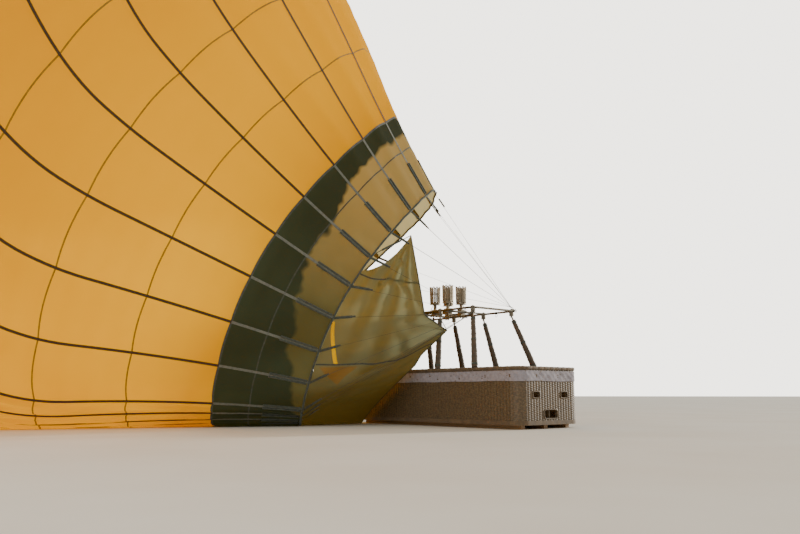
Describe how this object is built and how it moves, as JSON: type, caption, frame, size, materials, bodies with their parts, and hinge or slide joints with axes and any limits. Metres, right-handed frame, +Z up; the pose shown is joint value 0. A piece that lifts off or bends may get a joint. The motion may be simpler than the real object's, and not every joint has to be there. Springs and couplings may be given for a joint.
{
  "type": "hot air balloon",
  "caption": "Hot air balloon part filled beside its standing wicker basket, with load frame, gimballed burner, flying wires, scoop and sliding vent panel in a gored fabric envelope.",
  "frame": {"origin": "Ground under the middle of the basket's middle runner, where the basket stands and the lifted envelope is held.", "axes": "+X along the basket, away from the envelope; +Y across it, towards the side away from the scoop's free corner; +Z up."},
  "size_m": [20.0613, 18.9034, 19.9576],
  "materials": {
    "yellow_fabric": "coated nylon, satin",
    "band_fabric": "flame-resistant fabric, matt",
    "scoop_fabric": "flame-resistant fabric, matt",
    "load_tape": "woven polyester webbing",
    "frame_steel": "stainless tube, satin",
    "wire_steel": "stranded stainless wire",
    "burner_steel": "stainless, heat-tinted",
    "cylinder_alloy": "brushed alloy",
    "wicker": "woven willow and cane, varnished",
    "wood": "varnished plywood and hardwood",
    "hide": "worn suede hide",
    "post_padding": "padded cover, matt",
    "banner_fabric": "plain printed-free cloth, matt"
  },
  "bodies": {
    "envelope_and_basket": {"gores_1": "yellow_fabric", "gores_2": "yellow_fabric", "gores_3": "yellow_fabric", "gores_4": "yellow_fabric", "gores_5": "yellow_fabric", "gores_6": "yellow_fabric", "gores_7": "yellow_fabric", "gores_8": "yellow_fabric", "gores_9": "yellow_fabric", "mouth_band_top": "band_fabric", "mouth_band_near": "band_fabric", "mouth_band_far": "band_fabric", "crown_ring": "load_tape", "karabiner_far_front": "frame_steel", "flying_wires_far_front": "wire_steel", "karabiner_near_front": "frame_steel", "flying_wires_near_front": "wire_steel", "karabiner_near_rear": "frame_steel", "flying_wires_near_rear": "wire_steel", "karabiner_far_rear": "frame_steel", "flying_wires_far_rear": "wire_steel", "scoop": "scoop_fabric", "basket_wicker_rear_near": "wicker", "basket_wicker_rear": "wicker", "basket_wicker_rear_far": "wicker", "basket_wicker_near": "wicker", "basket_wicker_far": "wicker", "basket_wicker_front_near": "wicker", "basket_wicker_front": "wicker", "basket_wicker_front_far": "wicker", "basket_floor": "wood", "runner_near": "wood", "runner_middle": "wood", "runner_far": "wood", "base_hide": "hide", "banner": "banner_fabric", "rim_padding": "hide", "partition_front": "wicker", "partition_rear": "wicker", "gas_cylinder_1": "cylinder_alloy", "gas_cylinder_2": "cylinder_alloy", "gas_cylinder_3": "cylinder_alloy", "gas_cylinder_4": "cylinder_alloy", "post_near_front": "post_padding", "post_near_front_mid": "post_padding", "post_near_rear_mid": "post_padding", "post_near_rear": "post_padding", "post_far_front": "post_padding", "post_far_front_mid": "post_padding", "post_far_rear_mid": "post_padding", "post_far_rear": "post_padding", "load_frame": "frame_steel"},
    "gimbal": {"gimbal_ring": "frame_steel"},
    "burner": {"burner_block": "burner_steel", "burner_coil_1": "burner_steel", "burner_coil_2": "burner_steel", "burner_coil_3": "burner_steel", "burner_coil_4": "burner_steel"},
    "vent": {"parachute_vent": "yellow_fabric"}
  },
  "joints": [
    {"name": "gimbal_roll", "type": "hinge", "parent": "envelope_and_basket", "child": "gimbal", "pos_m": [-0.3, 0, 2.27], "axis": [1, 0, 0], "range_deg": [-12, 12]},
    {"name": "gimbal_pitch", "type": "hinge", "parent": "gimbal", "child": "burner", "pos_m": [-0.3, 0, 2.27], "axis": [0, 1, 0], "range_deg": [-12, 12]},
    {"name": "vent_slide", "type": "slide", "parent": "envelope_and_basket", "child": "vent", "axis": [0.5742, 0.6779, -0.4591], "range_m": [0, 1.2]}
  ]
}
